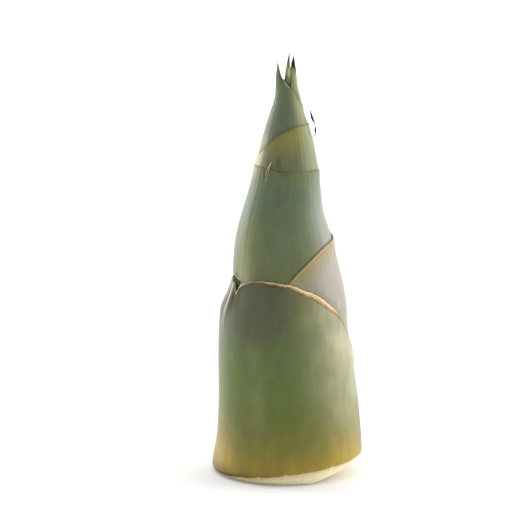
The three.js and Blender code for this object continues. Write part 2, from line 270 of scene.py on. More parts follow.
def leaf_skin(name, body, cool="#565b42", wax="#a9ab86", lining="#cfcb98",
              dried=("#f6dcae", "#c49a5c", "#7a6532"), stain_and_shade_colour="#3f3a1f", frays=0.3, bloom=0.4, gloss=0.5):
    """Fresh culm sheath: leaf tissue under a waxy cuticle, which gives it a satin gloss and pale edges.

    body: its colour by tone, a height in millimetres. cool: the bruised, greyer skin where it is marked.
    wax: the pale bloom, which on sheath 1 also paints a soft highlight. lining: the inner face. dried: cream,
    tan and brown of the withered edge, from the edge down. The next colour is for brown stains at a torn
    edge, and also for painted shade in creases, hollows and under edges. frays: how ragged the withered edge
    is.
    bloom: how much the wax glows at a grazing look. gloss: how much the skin reflects, 0.5 as usual."""
    material = bpy.data.materials.new(name)
    material.use_nodes = True
    tree = material.node_tree
    shader = tree.nodes["Principled BSDF"]
    growth = add(tree, "UVMap", uv_map="growth").outputs[0]
    tone, cooled, waxed_and_highlit, worn_and_highlight, dead, stain_and_shade, inside, below = (
        add(tree, "Attribute", attribute_name=mark).outputs["Fac"]
        for mark in ("tone", "cool", "wax", "worn_and_highlight", "dried", "stain_and_shade", "inside", "below"))
    # The real veins are about 0.5 apart, too fine to show, so they are drawn as coarse as this.
    streak = pattern(tree, growth, 1.6, 45)
    vein = pattern(tree, growth, 0.9, 90, 1.0)
    blotch = pattern(tree, growth, 15, 24, 3.0)
    cloud = pattern(tree, growth, 6, 11)

    shift = add(tree, "MapRange", {0: blotch, 3: -6 / SHOOT_HEIGHT, 4: 6 / SHOOT_HEIGHT})
    skin = add(tree, "ValToRGB", {0: add(tree, "Math", {0: tone, 1: shift})},
               stops=[(height / SHOOT_HEIGHT, code, 1.0) for height, code in body])
    patchy = add(tree, "MapRange", {0: blotch, 1: 0.3, 2: 0.7, 3: 0.65, 4: 1.15})
    share = add(tree, "Math", {0: cooled, 1: patchy}, operation="MULTIPLY", use_clamp=True)
    skin = add(tree, "Mix", {0: share, 6: skin, 7: cool}, data_type="RGBA")
    share = add(tree, "Math", {0: waxed_and_highlit, 1: patchy}, operation="MULTIPLY", use_clamp=True)
    skin = add(tree, "Mix", {0: share, 6: skin, 7: wax}, data_type="RGBA")
    # Pale rubbed skin; on sheath 1's pleat crest the same pale is a painted highlight.
    skin = add(tree, "Mix", {0: worn_and_highlight, 6: skin, 7: "#dcd9c2"}, data_type="RGBA")
    grain = add(tree, "MapRange", {0: streak, 1: 0.2, 2: 0.8, 3: 0.97, 4: 1.03})
    shades = add(tree, "MapRange", {0: cloud, 1: 0.25, 2: 0.75, 3: 0.92, 4: 1.08})
    mottle = add(tree, "Math", {0: grain, 1: shades}, operation="MULTIPLY")
    skin = add(tree, "Mix", {0: 1.0, 6: skin, 7: mottle}, data_type="RGBA", blend_type="MULTIPLY")

    along = add(tree, "SeparateXYZ", {0: growth}).outputs[0]
    strands = pattern(tree, add(tree, "CombineXYZ", {0: along, 1: below}), 7, 0.7, 3.0)
    frayed = add(tree, "MapRange", {0: strands, 1: 0.25, 2: 0.75, 3: -frays / 2, 4: frays / 2})
    place = add(tree, "Math", {0: dead, 1: frayed})
    cream, tan, brown = dried
    edge = add(tree, "ValToRGB", {0: place},
               stops=[(0.12, brown, 0.0), (0.27, brown, 0.85), (0.5, tan, 1.0), (0.9, cream, 1.0)])
    skin = add(tree, "Mix", {0: edge.outputs[1], 6: skin, 7: edge.outputs[0]}, data_type="RGBA")
    # This mixes in brown stains, and also painted shade in creases, hollows and under edges.
    share = add(tree, "Math", {0: stain_and_shade, 1: patchy}, operation="MULTIPLY", use_clamp=True)
    skin = add(tree, "Mix", {0: share, 6: skin, 7: stain_and_shade_colour}, data_type="RGBA")
    skin = add(tree, "Mix", {0: inside, 6: skin, 7: lining}, data_type="RGBA")
    tree.links.new(skin.outputs[2], shader.inputs["Base Color"])

    satin = add(tree, "MapRange", {0: streak, 1: 0.3, 2: 0.7, 3: 0.42, 4: 0.54})
    dull = add(tree, "Math", {0: dead, 1: 0.25, 2: satin}, operation="MULTIPLY_ADD")
    dull = add(tree, "Math", {0: stain_and_shade, 1: 0.4, 2: dull}, operation="MULTIPLY_ADD", use_clamp=True)
    tree.links.new(dull.outputs[0], shader.inputs["Roughness"])
    ribs = add(tree, "Math", {0: vein, 1: 0.8, 2: streak}, operation="MULTIPLY_ADD")
    fibres = add(tree, "Math", {0: strands, 1: dead, 2: ribs}, operation="MULTIPLY_ADD")
    raised = add(tree, "Bump", {"Strength": 0.2, "Distance": 0.15 * MM, "Height": fibres})
    tree.links.new(raised.outputs[0], shader.inputs["Normal"])
    shader.inputs["IOR"].default_value = 1.45
    shader.inputs["Specular IOR Level"].default_value = gloss
    shader.inputs["Sheen Weight"].default_value = bloom
    shader.inputs["Sheen Roughness"].default_value = 0.3
    return material


def by_height(around, height, below):
    """A tone that is simply the height."""
    return height / SHOOT_HEIGHT


def fine_ribs(around, count, seed, depth=0.02, swing=0.05, length=40):
    """Fine ribs up the leaf, one in every 360 / count degrees, over a slow waviness of the given swing and
    length in degrees."""
    return depth * np.sin(np.radians(around * count)) + swing * uneven(around, length, seed)


sheath_1_edge = through([
    (-204, 44), (-147, 93), (-120, 105), (-90, 112), (-58, 114.5), (-44, 113.5), (-30, 112), (-10, 111),
    (8, 110.8), (20, 111.2), (27, 111), (30, 109.8), (33, 107.8), (36, 106.6), (38.5, 108.7), (41, 110.3),
    (44, 111.5), (47, 112.3), (50, 112.9), (54, 113.5), (60, 114.2), (66, 114.4), (72, 114.4), (82, 113.9),
    (90, 113.2), (98.5, 112.3), (108, 109.9), (122, 106.2), (132.5, 101.6), (147, 93.6), (165, 79),
    (204, 44)])
rim_height = through([(-204, 0.5), (-150, 0.6), (-130, 2.2), (-60, 2.2), (-40, 0.8), (36, 1.2), (60, 1.2),
                      (84, 1), (91, 1), (98, 1.3), (108, 2.1), (128, 2.5), (139, 2), (149, 0.9), (204, 0.5)])
pleat = through([(80, 24), (100, 25.2), (106, 26.3), (112, 28)])  # the angle of its crest at each height
bruise_foot = through([(-204, 74), (60, 74), (78, 72), (90, 84), (104, 96), (204, 96)])


def sheath_1_swell(around, height):
    """Drawn in at the blade, with a small lip turned out on each side of it, where the edge makes a cup."""
    drawn = -4.6 * hump(around, 0, 34) * smooth(height, 93, 110)
    lips = 0.7 * (hump(around, 45, 5) + hump(around, -45, 5)) * smooth(height, 108, 113)
    return drawn + lips


def sheath_1_relief(around, height, below):
    """A pleat that runs down from the blade, with a groove behind it and a broader hollow in front, fading
    out downwards. Then the strands of the dried rim, and broad ribs over the whole leaf."""
    off = around - pleat(height)
    pleats = smooth(height, 82, 104) * (1.0 * hump(off, 0, 3.2) - 1.0 * hump(off, -9, 3.5))
    hollow = -0.2 * hump(off, 11, 6) * smooth(height, 92, 106)
    behind = 0.5 * smooth(height, 92, 108) * (hump(around, -16, 4) - hump(around, -24, 3.5))
    share = np.exp(-((below / rim_height(around)) ** 2)) * smooth(np.abs(around), 34, 40)
    strands = np.sin(2 * np.pi * (below / 0.9 + 0.35 * uneven(around, 25, 6)))
    rim = share * (0.3 + 0.1 * strands + 0.12 * uneven(around, 14, 3))
    return pleats + hollow + behind + rim + fine_ribs(around, 110, 8, depth=0.008)


def torn_foot(angle):
    """The cut slants up towards +X, and small nicks are torn in it."""
    nicks = sum(hump(np.mod(angle, 360), at, 1.1) for at in (247, 268, 281, 305, 40, 118))
    return 6.4 + 5.2 * np.cos(np.radians(angle)) + 0.9 * nicks + 0.18 * uneven(angle, 36, 5)


def sheath_1_tone(around, height, below):
    """Height, less as much as the golden colour of the foot reaches higher up at the two sides, and less
    where fresh green runs up to the edge behind the dried rim."""
    side = np.abs(around)
    golden = 13 * (1 - smooth(side, 15, 60)) + 14 * smooth(side, 85, 145)
    green = 24 * smooth(side, 92, 112) * smooth(height, 75, 95)
    return (height - golden * (1 - smooth(height, 25, 75)) - green) / SHOOT_HEIGHT


def sheath_1_dried(around, height, below):
    """The dried rim reaches two rim heights below the edge. It begins beside the blade, grows paler round to
    the far margin, and ends before it."""
    side = np.abs(around)
    paler = 0.44 + 0.2 * smooth(side, 66, 74) + 0.36 * smooth(side, 80, 97)
    return (np.clip(1 - below / (2 * rim_height(around)), 0, 1) * paler
            * smooth(side, 46, 54) * (1 - smooth(side, 142, 154)))


def sheath_1_bruise(around, height, below):
    """A grey bruise in front of the blade, from a slanting foot up to the edge."""
    return (0.95 * smooth(height - bruise_foot(around), 0, 15) * (1 - smooth(around, 84, 106))
            * smooth(around, -60, -20))


def sheath_1_wax_and_highlight(around, height, below):
    """Wax towards the margins, but none low down at the very right, under the painted dark reflection there.
    In front, a faint patch of wax higher up, and a faint painted highlight lower down.
    """
    side = np.abs(around)
    margins = (0.8 * smooth(side, 88, 156) * smooth(height, 12, 62)
               * (1 - hump(side, 181, 15) * (1 - smooth(height, 40, 58))))
    upper = 0.12 * hump(around, 118, 16) * hump(height, 92, 16)
    # a painted highlight: a soft pale upright band in front
    lower = 0.14 * hump(around, 63, 8) * hump(height, 52, 26)
    return margins + upper + lower


def sheath_1_highlight_and_wear(around, height, below):
    """A painted highlight along the crest of the pleat, and rubbed pale on the lips beside the blade."""
    # painted highlight along the crest of the pleat
    crest = 0.8 * hump(around - pleat(height), 0, 2.4) * smooth(height, 90, 104)
    lips = 0.7 * hump(np.abs(around), 43, 7) * (1 - smooth(below, 0.8, 1.5))
    return crest + lips


def sheath_1_stain_and_shade(around, height, below):
    """Brown along the torn foot at the left, darker low on the left flank, and a painted dark reflection low
    on the right flank. Painted shade in the groove and the hollow beside the pleat, and in a line under the
    rim.
    Brown in a short stretch of the rim beside the blade, and darker below the blade."""
    side, off, above = np.abs(around), around - pleat(height), height - torn_foot(around + 180)
    foot = ((0.6 * (1 - smooth(above, 0.3, 1.6)) + 0.5 * (1 - smooth(above, 1, 9)))
            * (1 - smooth(around, 30, 95)) * smooth(around, -60, -20))
    left = 0.3 * hump(around, 0, 18) * (1 - smooth(height, 8, 24))
    # painted dark reflection low on the right flank
    right = 0.7 * hump(side, 181, 13) * smooth(height, 6, 16) * (1 - smooth(height, 36, 56))
    # painted shade in the groove behind the pleat, and in the hollow in front of it
    groove = 0.3 * hump(off, -9, 3) * smooth(height, 86, 104)
    hollow = (0.9 * hump(off, 6, 3.5) * smooth(height, 88, 104)
              + 0.8 * hump(off, 14, 6) * smooth(height, 90, 104)) * smooth(below, 0.8, 1.5)
    short = 0.3 * smooth(side, 48, 55) * (1 - smooth(side, 68, 76)) * (1 - smooth(below, 1.4, 2.4))
    # painted shade in a line under the rim
    line = 0.6 * hump(below, 2, 0.7) * smooth(side, 68, 74) * (1 - smooth(side, 88, 94))
    under_blade = 0.5 * hump(around, 0, 9) * smooth(height, 88, 104)
    return foot + left + right + groove + hollow + short + line + under_blade


lay_sheath(
    "sheath_1_leaf", "sheath_1_base",
    leaf_skin("Waxy green leaf with a dried tan rim",
              body=[(0, "#a68d28"), (8, "#947f28"), (16, "#7c7424"), (28, "#6a6c24"), (40, "#5e6a24"),
                    (58, "#586a29"), (78, "#596633"), (95, "#59603a"), (112, "#686b4c")],
              cool="#51573c", wax="#b3ab88", dried=("#f3dcb4", "#bb9558", "#705838"), stain_and_shade_colour="#42371a"),
    facing=180, wrap=204, thickness=1.6, edge_thickness=0.9,
    girth=[(0, 41.6), (4, 43.3), (10, 42.9), (17, 42.1), (40, 40.3), (70, 38.5), (99, 36), (118, 32.4)],
    top=lambda around: sheath_1_edge(around) + 0.2 * uneven(around, 12, 1),
    foot=torn_foot, step=1, rows=62, swell=sheath_1_swell, relief=sheath_1_relief,
    marks={"tone": sheath_1_tone, "dried": sheath_1_dried, "cool": sheath_1_bruise, "wax": sheath_1_wax_and_highlight,
           "worn_and_highlight": sheath_1_highlight_and_wear, "stain_and_shade": sheath_1_stain_and_shade},
)

# The withered blade of sheath 1: a small dead leaf, dark and curled, that stands in the notch of the edge.
# It is dry, dull and fibrous, and its free edge is bleached.


def dead_leaf(name, dark, pale, foot):
    """Withered leaf tissue: dull and fibrous, dark, bleached pale along its free edge, and with a foot of its
    own colour. Being dry, it has hardly any gloss."""
    material = bpy.data.materials.new(name)
    material.use_nodes = True
    tree = material.node_tree
    shader = tree.nodes["Principled BSDF"]
    growth = add(tree, "UVMap", uv_map="growth").outputs[0]
    bleached = add(tree, "Attribute", attribute_name="bleached").outputs["Fac"]
    fibre = pattern(tree, growth, 0.5, 9, 3.0)
    frayed = add(tree, "MapRange", {0: fibre, 1: 0.3, 2: 0.7, 3: 0.5, 4: 1.2})
    share = add(tree, "Math", {0: bleached, 1: frayed}, operation="MULTIPLY", use_clamp=True)
    rooted = add(tree, "Attribute", attribute_name="rooted").outputs["Fac"]
    skin = add(tree, "Mix", {0: rooted, 6: dark, 7: foot}, data_type="RGBA")
    skin = add(tree, "Mix", {0: share, 6: skin, 7: pale}, data_type="RGBA")
    grain = add(tree, "MapRange", {0: fibre, 1: 0.2, 2: 0.8, 3: 0.7, 4: 1.3})
    skin = add(tree, "Mix", {0: 1.0, 6: skin, 7: grain}, data_type="RGBA", blend_type="MULTIPLY")
    tree.links.new(skin.outputs[2], shader.inputs["Base Color"])
    raised = add(tree, "Bump", {"Strength": 0.5, "Distance": 0.2 * MM, "Height": fibre})
    tree.links.new(raised.outputs[0], shader.inputs["Normal"])
    shader.inputs["Roughness"].default_value = 0.75
    shader.inputs["Specular IOR Level"].default_value = 0.2
    return material


def withered_blade(name, node, material, angles, low, top, radius, bleached=1.2, foot=(0, 1),
                   thickness=lambda level: 0.35 + 0 * level, lean=lambda level: 0 * level):
    """A small sheet between two angles, from a level foot up to a top line.

    Its radius changes over it, and its thickness and its lean round the shoot change with height. It is
    bleached to that depth along the top, and has its foot's colour up to the first foot height, fading out by
    the second."""
    angle = np.linspace(*angles, 33)[:, None]
    height = low + (top(angle) - low) * np.linspace(0, 1, 24)
    outer = radius(angle, height)
    inner = outer - thickness(height)
    marks = {"bleached": lambda around, level, below: 1 - smooth(below, 0.2 * bleached, bleached),
             "rooted": lambda around, level, below: 1 - smooth(level, *foot)}
    return sheet(name, node, material, angle, height, outer, inner, angle, marks, lean)


def sheath_1_blade_radius(angle, height):
    """It leans in a little upwards, is creased along the middle, and its foot stands out at its free side."""
    return (29.8 - 0.05 * (height - 106) + 0.2 * hump(angle, 197, 4)
            + 1.7 * smooth(angle, 204, 220) * (1 - smooth(height, 106, 112)))


withered_blade(
    "sheath_1_blade", "sheath_1_base",
    dead_leaf("Withered dark blade", "#2f2d16", "#c0c498", "#6f5b45"),
    angles=(168, 236), low=102, foot=(109, 112.5), bleached=1.4,
    top=through([(168, 106), (184, 109), (190, 111), (194.5, 113.6), (198, 116.2), (200.5, 115.9),
                 (203, 115.3), (209, 114.2), (212.5, 113.6), (216, 112.9), (220, 111.9), (224, 111.1),
                 (236, 110.2)]),
    radius=sheath_1_blade_radius,
)

# ==== Sheath 2 ====
# The second culm sheath: a stiff leaf, bleached grey-beige under heavy wax, that grows from the core's
# lowest ring. One margin slants down across the front of the shoot with a thin tan line along it, and its
# short blade stands at the right, towards the back.


def level_foot(height):
    """A foot at one height all round."""
    return lambda angle: height + 0 * angle


def sheath_2_line(around, height, below):
    """The tan line reaches 3.6 below the edge. It is fainter towards the margins, and faintest at the
    blade."""
    strength = 0.9 - 0.2 * smooth(np.abs(around), 80, 105) - 0.5 * hump(around, 0, 14)
    return np.clip(1 - below / 3.6, 0, 1) * strength


def sheath_2_wax(around, height, below):
    """Wax all over it from a little below the edge down, thinner towards the margins."""
    return 0.85 * smooth(below, 3, 14) * (1 - 0.4 * smooth(np.abs(around), 70, 110))


sheath_2_edge = through([(0, 136.8), (24, 135.6), (50, 133.8), (68, 130.8), (87, 124.4), (98, 119.8),
                         (109, 113.6), (156, 76), (204, 44)])
lay_sheath(
    "sheath_2_leaf", "sheath_2",
    leaf_skin("Bleached leaf under heavy wax", body=[(90, "#807f60"), (112, "#868567"), (138, "#918e72")],
              cool="#988b66", wax="#999385", dried=("#b0935e", "#a58c5c", "#8d8560"), frays=0.2, bloom=0.25),
    facing=24, wrap=204, thickness=1.5,
    girth=[(22, 42), (80, 36.7), (93, 36.3), (105, 35), (116, 32.7), (127, 30.2), (138, 28.6)],
    top=lambda around: sheath_2_edge(np.abs(around)) + 3 * np.maximum(0, 1 - np.abs(around) / 9),
    foot=level_foot(22), step=1.5, rows=44,
    relief=lambda around, height, below: fine_ribs(around, 100, 12),
    marks={
        "tone": by_height,
        "dried": sheath_2_line,
        "cool": lambda around, height, below: (
            0.85 * (1 - smooth(below, 4, 20)) * smooth(np.abs(around), 15, 60)),
        "wax": sheath_2_wax,
        "worn_and_highlight": lambda around, height, below: 0.7 * hump(around, 0, 16) * (1 - smooth(below, 1.5, 4)),
    },
)

# ==== Sheath 3 ====
# The long grey-green leaf in the middle of the shoot, from the core's second ring. A light bloom makes it
# bluish, with an olive band down its left side. Its blade has dried to a small folded sliver between two dark
# hollows.

sheath_3_edge = through([
    (-204, 132), (-156, 156), (-120, 168), (-90, 173.5), (-60, 176.5), (-36, 177), (-16, 176.4), (-9, 175.2),
    (-3, 176), (4, 175.8), (12, 175.2), (36, 174.7), (70, 174.5), (121, 174), (150, 168), (175, 158),
    (204, 140)])
# How far its front and right side spread, at each height, to fill the sheaths outside it.
sheath_3_spread = through([(80, 5), (105, 4.2), (113.6, 3.2), (119.8, 2.3), (124.4, 1.6), (130.8, 1.1),
                           (140, 0.4), (148, 0)])


def sheath_3_swell(around, height):
    """A little fuller on its right side near the top, and spread out lower down."""
    fuller = 0.7 * hump(around, 110, 60) * smooth(height, 164, 175)
    return fuller + sheath_3_spread(height) * smooth(around, -34, 8) * (1 - smooth(around, 150, 200))


def sheath_3_relief(around, height, below):
    """Fine ribs, and a crest under the blade between two hollows."""
    crest = 0.5 * hump(around, -1, 3) - 0.7 * hump(around, -8, 3) - 0.5 * hump(around, 9, 4)
    return fine_ribs(around, 90, 21) + smooth(height, 166, 175) * crest


def sheath_3_bloom(around, height, below):
    """Greyer on its right side, but not up at the edge."""
    return (0.85 * smooth(around, 60, 100) * (1 - smooth(around, 170, 200))
            * (1 - 0.85 * smooth(height, 146, 170)))


def sheath_3_stain_and_shade(around, height, below):
    """Painted shade in the hollow at the left of the blade, darker in two patches at its right, and painted
    shade low down at the left, inside the cup of sheath 1."""
    # painted shade in the hollow beside the blade
    hollow = 0.7 * hump(around, -6.5, 2.5) * hump(height, 175, 4)
    beside = 0.5 * hump(around, 13, 8) * (1 - smooth(below, 0.3, 1.2))
    further = 0.5 * hump(around, 27, 9) * hump(height, 174, 2.5)
    # the last term is painted shade inside the cup of sheath 1, low down at the left
    return hollow + beside + further + 0.85 * hump(around, -24, 11) * (1 - smooth(height, 110.5, 113))


lay_sheath(
    "sheath_3_leaf", "sheath_3",
    leaf_skin("Green leaf with a blue-grey bloom",
              body=[(104, "#697143"), (122, "#656f48"), (140, "#646f50"), (160, "#5c6a4e"), (169, "#616b4a"),
                    (176, "#6d6f45")],
              cool="#908c84", wax="#73793f", lining="#85835a", dried=("#70714a", "#6c6e48", "#666846"),
              stain_and_shade_colour="#4a4527", frays=0.1),
    facing=-121, wrap=204, thickness=1.3, edge_thickness=0.12,
    girth=[(46, 40), (110, 29.2), (128, 28.0), (139, 26.2), (151, 23), (162, 20.6), (171, 18.9), (176, 18.2),
           (186, 17)],
    top=lambda around: sheath_3_edge(around) + 0.15 * uneven(around, 20, 22),
    foot=level_foot(46), step=1.25, rows=62, swell=sheath_3_swell, relief=sheath_3_relief,
    marks={
        "tone": by_height,
        "dried": lambda around, height, below: 0.5 * np.clip(1 - below / 1.6, 0, 1),
        "worn_and_highlight": lambda around, height, below: 0.35 * smooth(height, 168, 177) * smooth(-around, 26, 48),
        "cool": sheath_3_bloom,
        "wax": lambda around, height, below: 0.65 * hump(around, -18, 20) * (1 - smooth(height, 138, 160)),
        "stain_and_shade": sheath_3_stain_and_shade,
    },
)

# The blade of sheath 3: a narrow sliver, folded along its middle and bleached cream, leaning to the right.

sliver_radius = through([(171, 18.9), (173, 19.3), (175, 19.2), (178, 18.6), (182, 17.7)])
withered_blade(
    "sheath_3_blade", "sheath_3",
    dead_leaf("Bleached sliver of blade", "#6d6c4a", "#b5b694", "#6d6c4a"),
    angles=(-2.8, 2.8), low=171.5, bleached=5,
    top=through([(-2.8, 173), (-1.4, 176.5), (0, 180.5), (1.4, 177.5), (2.8, 173)]),
    radius=lambda angle, height: sliver_radius(height) + 0.25 * hump(angle, -0.5, 1.3),
    thickness=lambda level: 0.4 + 0 * level,
    lean=through([(170, -125), (172, -124.7), (175, -123.3), (177.7, -121.5), (180.5, -117), (182, -114.2)]),
)

# ==== Sheath 4 ====
# A younger, thinner leaf from the core's third ring. It is olive yellow where it comes out into the light and
# greener lower down, with a dry tan margin at the left.

sheath_4_edge = through([
    (-204, 178), (-190, 180), (-172, 182.5), (-156, 185), (-139, 188), (-122, 192.4), (-96, 196.5),
    (-50, 200), (0, 200.5), (50, 200), (96, 196.5), (122, 191), (156, 180), (204, 166)])


def sheath_4_painted_shade(around, height, below):
    """Painted shade in a hollow in front, beside the blade of sheath 3, and a faint painted shade along the
    edge of sheath 3 near that blade.
    """
    spot = 0.6 * hump(around, -106, 4) * hump(height, 179.4, 3)
    return spot + 0.25 * hump(height - sheath_3_edge(around + 121), 0.8, 1.6) * hump(around, -102, 14)


lay_sheath(
    "sheath_4_leaf", "sheath_4",
    leaf_skin("Olive yellow leaf",
              body=[(166, "#626a4b"), (177, "#666c4a"), (182, "#6e7046"), (189, "#7c7942"), (200, "#848046")],
              cool="#7f8556", wax="#c2b184", lining="#8a864c", dried=("#77743c", "#736f3c", "#6c693c"),
              frays=0.1),
    facing=0, wrap=204, thickness=1.1, under=1,
    girth=[(74, 40), (170, 19.5), (176, 18.2), (181, 17), (185, 16), (190, 14.8), (194, 13.5), (199, 12.3),
           (206, 10.8)],
    top=sheath_4_edge, foot=level_foot(74), step=1.5, rows=54,
    swell=lambda around, height: 0.3 * hump(around, 0, 50) * smooth(height, 176, 192),
    relief=lambda around, height, below: fine_ribs(around, 80, 31),
    marks={
        "tone": by_height,
        "dried": lambda around, height, below: 0.6 * np.clip(1 - below / 1.2, 0, 1),
        "cool": lambda around, height, below: 0.8 * smooth(around, -75, -30) * (1 - smooth(around, 40, 80)),
        "wax": lambda around, height, below: 0.85 * smooth(np.abs(around), 135, 160),
        "stain_and_shade": sheath_4_painted_shade,
    },
)

# The blade of sheath 4: a thin dry leaf, nearly black, that stands a little off the shoot at the right and
# leans in along it.

sheath_4_blade_radius = through([(190, 12), (192, 14.6), (194, 16.2), (196, 16.5), (199.5, 16), (203.5, 14.8),
                                 (207.5, 13.3)])
withered_blade(
    "sheath_4_blade", "sheath_4",
    dead_leaf("Withered dark blade of sheath 4", "#33352a", "#33352a", "#c9bd92"),
    angles=(-8, 8), low=190, foot=(191.5, 195.5),
    top=through([(-8, 193), (-4, 199), (0, 207.5), (4, 200), (8, 193)]),
    radius=lambda angle, height: sheath_4_blade_radius(height),
    thickness=through([(190, 0.1), (194, 0.1), (196, 1.0), (199, 0.2), (203, 1.4), (207.5, 0.4)]),
)

# ==== Sheath 5 ====
# A thin grey-green leaf from the core's fourth ring, rolled tight and drawn out at the left into a stiff dark
# spike. The margin beside the spike is pale and dry.

sheath_5_edge = through([
    (-204, 199), (-156, 211), (-117, 218), (-98, 221.6), (-74, 224.5), (-40, 226.5), (-12, 227), (4, 229),
    (16, 232), (27, 235.2), (36, 232.6), (47, 230), (58, 227.4), (70, 225.1), (84, 223.2), (98, 221.6),
    (111, 219.9), (156, 211), (204, 199)])


def sheath_5_margin(around, height, below):
    """Dry along the edge at the foot of the spike."""
    return np.clip(1 - below / 1.3, 0, 1) * smooth(around, 66, 78) * (1 - smooth(around, 94, 108))


def sheath_5_shade_and_spike(around, height, below):
    """Painted shade along the edge of sheath 4, and the dark of the spike, which sets in below it."""
    # painted shade along the edge of sheath 4
    shade = 0.5 * hump(height - sheath_4_edge(around - 180), 1, 1.3) * hump(around, 72, 45)
    return shade + (0.3 * smooth(height, 212, 222) + 0.4 * smooth(height, 222, 228)) * hump(around, 5, 42)


lay_sheath(
    "sheath_5_leaf", "sheath_5",
    leaf_skin("Grey-green leaf with a dark spike",
              body=[(180, "#66684c"), (194, "#686a52"), (206, "#616d54"), (221, "#636d4e"), (228, "#4f5a38"),
                    (231, "#3a4422"), (235, "#2c3020")],
              cool="#7a7f50", wax="#9c9262", lining="#7a7f56", dried=("#b4b99a", "#9aa082", "#79806a"),
              stain_and_shade_colour="#383a1c", frays=0.1),
    facing=180, wrap=204, thickness=0.9, edge_thickness=0.15,
    girth=[(104, 30), (180, 16.8), (190, 14.6), (199, 12.2), (203.5, 10.7), (208, 9.3), (213, 7.6),
           (217, 6.8), (222, 6.6), (228, 6.3), (232, 6), (235, 6.1)],
    top=sheath_5_edge, foot=level_foot(104), step=1.5, rows=54,
    relief=lambda around, height, below: fine_ribs(around, 60, 41, swing=0.06, length=50),
    marks={
        "tone": by_height,
        "dried": sheath_5_margin,
        "cool": lambda around, height, below: 0.9 * smooth(around, 96, 124),
        "wax": lambda around, height, below: 0.8 * hump(around, 22, 22) * (1 - smooth(height, 188, 197)),
        "stain_and_shade": sheath_5_shade_and_spike,
    },
)

# ==== Sheath 6 ====
# A thin olive green leaf from the core's fifth ring, which shows at the right of the tip. Its blade is a
# short spike, dried nearly black.

sheath_6_edge = through([(0, 239.6), (12, 239.1), (25, 238.1), (44, 236.2), (55, 234.7), (60, 233.2),
                         (62.5, 227.5), (67, 223), (85, 215.5), (120, 206), (192, 192)])
lay_sheath(
    "sheath_6_leaf", "sheath_6",
    leaf_skin("Olive green leaf with a black spike",
              body=[(200, "#797c54"), (215, "#78814f"), (228, "#788055"), (231, "#666a48"),
                    (232.5, "#25261a"), (238, "#1a1a16")],
              wax="#a9ae92", dried=("#8a906c", "#808658", "#79805c"), stain_and_shade_colour="#0f0f0c", frays=0.1, bloom=0.2,
              gloss=0.15),
    facing=0, wrap=192, thickness=0.75, edge_thickness=0.25,
    girth=[(130, 26), (202, 10.6), (208, 9.7), (213, 8.2), (217, 7.2), (220, 6.4), (225, 5.6), (230.5, 5.05),
           (232.3, 4.7), (235, 4.3), (239, 3.9)],
    top=lambda around: sheath_6_edge(np.abs(around)), foot=level_foot(130), step=2, rows=50,
    marks={
        "tone": by_height,
        "wax": lambda around, height, below: 0.4 * hump(around, 0, 40) * (1 - smooth(height, 222, 230)),
        "stain_and_shade": lambda around, height, below: smooth(height, 231, 233),
    },
)

# ==== Sheath 7 ====
# The innermost leaf, from the core's topmost ring: soft, yellow-green, and rolled into a tight tube that
# shows between the two spikes.

sheath_7_edge = through([(0, 233), (60, 232.2), (71, 231), (77, 226.5), (96, 224.5), (130, 221.5),
                         (192, 216)])
lay_sheath(
    "sheath_7_leaf", "sheath_7",
    leaf_skin("Yellow-green inner leaf",
              # Below 226 the ramp is darker, as painted shade in the notch between the spikes; the bright
              # yellow-green top is its own colour, lightened further as a painted highlight.
              body=[(200, "#5f6150"), (223, "#5c634a"), (226, "#8a9262"), (228.5, "#bcc388"),
                    (233, "#b6bd7c")]),
    facing=-12, wrap=192, thickness=0.6, edge_thickness=0.25,
    girth=[(152, 20), (202, 7.2), (213, 5.2), (222, 4.6), (234, 3.9)],
    top=lambda around: sheath_7_edge(np.abs(around)), foot=level_foot(152), step=3, rows=36,
    marks={"tone": by_height},
)

# ==== Bud ====
# The growing tip: the youngest leaves, soft and yellow-green, rolled into a slim cone that stands on the
# core. Its point has dried grey.


def turned(name, node, slot, material, angle, radius, height, middle, marks):
    """A closed solid of rings round the shoot's axis, from the foot up, each ring moved to +X by middle. The
    first and last rings are closed flat."""
    points = ring_points(angle, radius, height)
    points[..., 0] += middle * MM
    columns, rings = radius.shape
    at = np.arange(columns * rings).reshape(columns, rings)
    on = np.roll(at, -1, axis=0)
    wall = np.stack([at[:, :-1], on[:, :-1], on[:, 1:], at[:, 1:]], -1).reshape(-1, 4)
    faces = wall.tolist() + [at[::-1, 0].tolist(), at[:, -1].tolist()]
    growth = np.stack([np.radians(angle) * radius.mean() + 0 * radius, height + 0 * radius], -1)
    values = {mark: make(angle, radius, height) + 0 * radius for mark, make in marks.items()}
    return make_piece(name, node, points, faces, values, growth, material)


